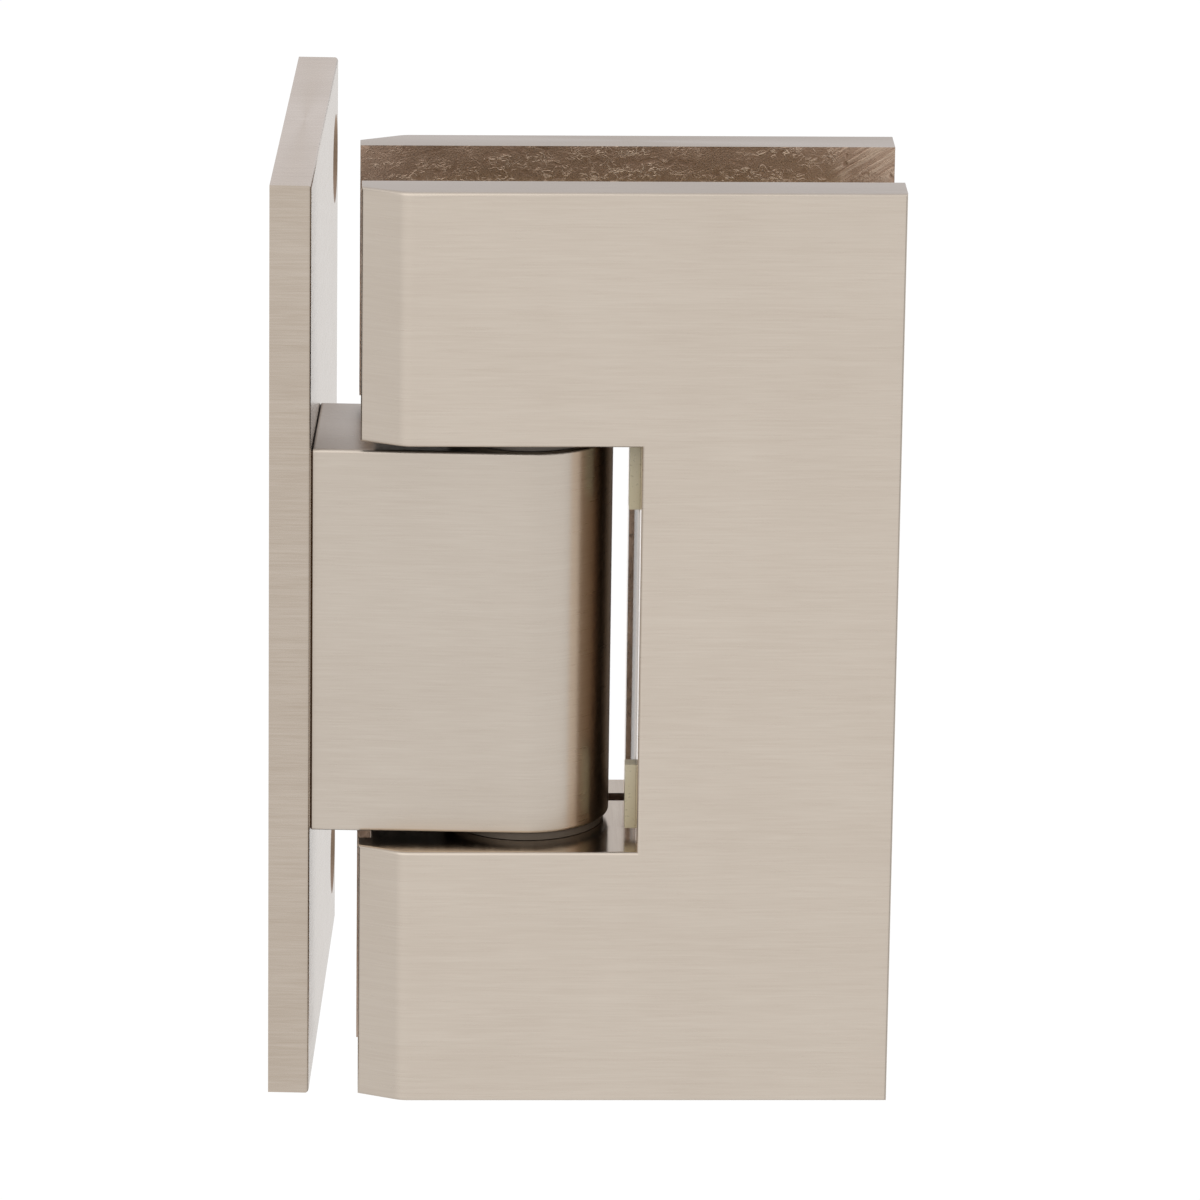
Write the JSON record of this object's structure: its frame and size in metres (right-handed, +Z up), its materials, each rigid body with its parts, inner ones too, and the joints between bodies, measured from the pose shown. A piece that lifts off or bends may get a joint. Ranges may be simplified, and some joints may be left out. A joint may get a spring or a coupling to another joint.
{
  "type": "shower door hinge",
  "caption": "Square-cornered wall-to-glass shower door hinge: offset wall plate, round-nosed pivot block and a notched glass clamp leaf that swings on a vertical pin.",
  "frame": {"origin": "on the wall plate's wall face, level with the pin axis and at mid-height", "axes": "+X out from the wall, +Y from the front to the back, +Z up along the pin"},
  "size_m": [0.0594, 0.0526, 0.09],
  "materials": {
    "wall_nickel": "brushed nickel plate",
    "block_nickel": "brushed nickel plate",
    "leaf_nickel": "brushed nickel plate, rough-cast inside",
    "steel": "ground",
    "screw_steel": "satin",
    "clear_vinyl": "clear, slightly yellow",
    "nylon": "natural",
    "acetal": "dark brown-grey"
  },
  "bodies": {
    "wall_side": {"wall_plate": "wall_nickel", "pivot_block": "block_nickel", "upper_block_screw": "screw_steel", "lower_block_screw": "screw_steel", "upper_spring": "steel", "lower_spring": "steel", "upper_bushing": "nylon", "lower_bushing": "nylon", "upper_washer": "acetal"},
    "door_leaf": {"pivot_pin": "steel", "clamp_body": "leaf_nickel", "clamp_cover": "leaf_nickel", "front_gasket": "clear_vinyl", "rear_gasket": "clear_vinyl", "upper_clamp_screw": "screw_steel", "lower_clamp_screw": "screw_steel", "upper_pin_set_screw": "screw_steel", "lower_pin_set_screw": "screw_steel", "lower_washer": "acetal"},
    "upper_detent": {"upper_plunger": "steel"},
    "lower_detent": {"lower_plunger": "steel"}
  },
  "joints": [
    {"name": "door_swing", "type": "hinge", "parent": "wall_side", "child": "door_leaf", "pos_m": [0.0241, 0, 0], "axis": [0, 0, 1], "range_deg": [-90, 90]},
    {"name": "upper_plunger_slide", "type": "slide", "parent": "wall_side", "child": "upper_detent", "axis": [1, 0, 0], "range_m": [0, 0.00065], "stiffness_N_per_m": 2000, "springref_m": 0.00065, "deforming": ["upper_spring"]},
    {"name": "lower_plunger_slide", "type": "slide", "parent": "wall_side", "child": "lower_detent", "axis": [1, 0, 0], "range_m": [0, 0.00065], "stiffness_N_per_m": 2000, "springref_m": 0.00065, "deforming": ["lower_spring"]}
  ]
}
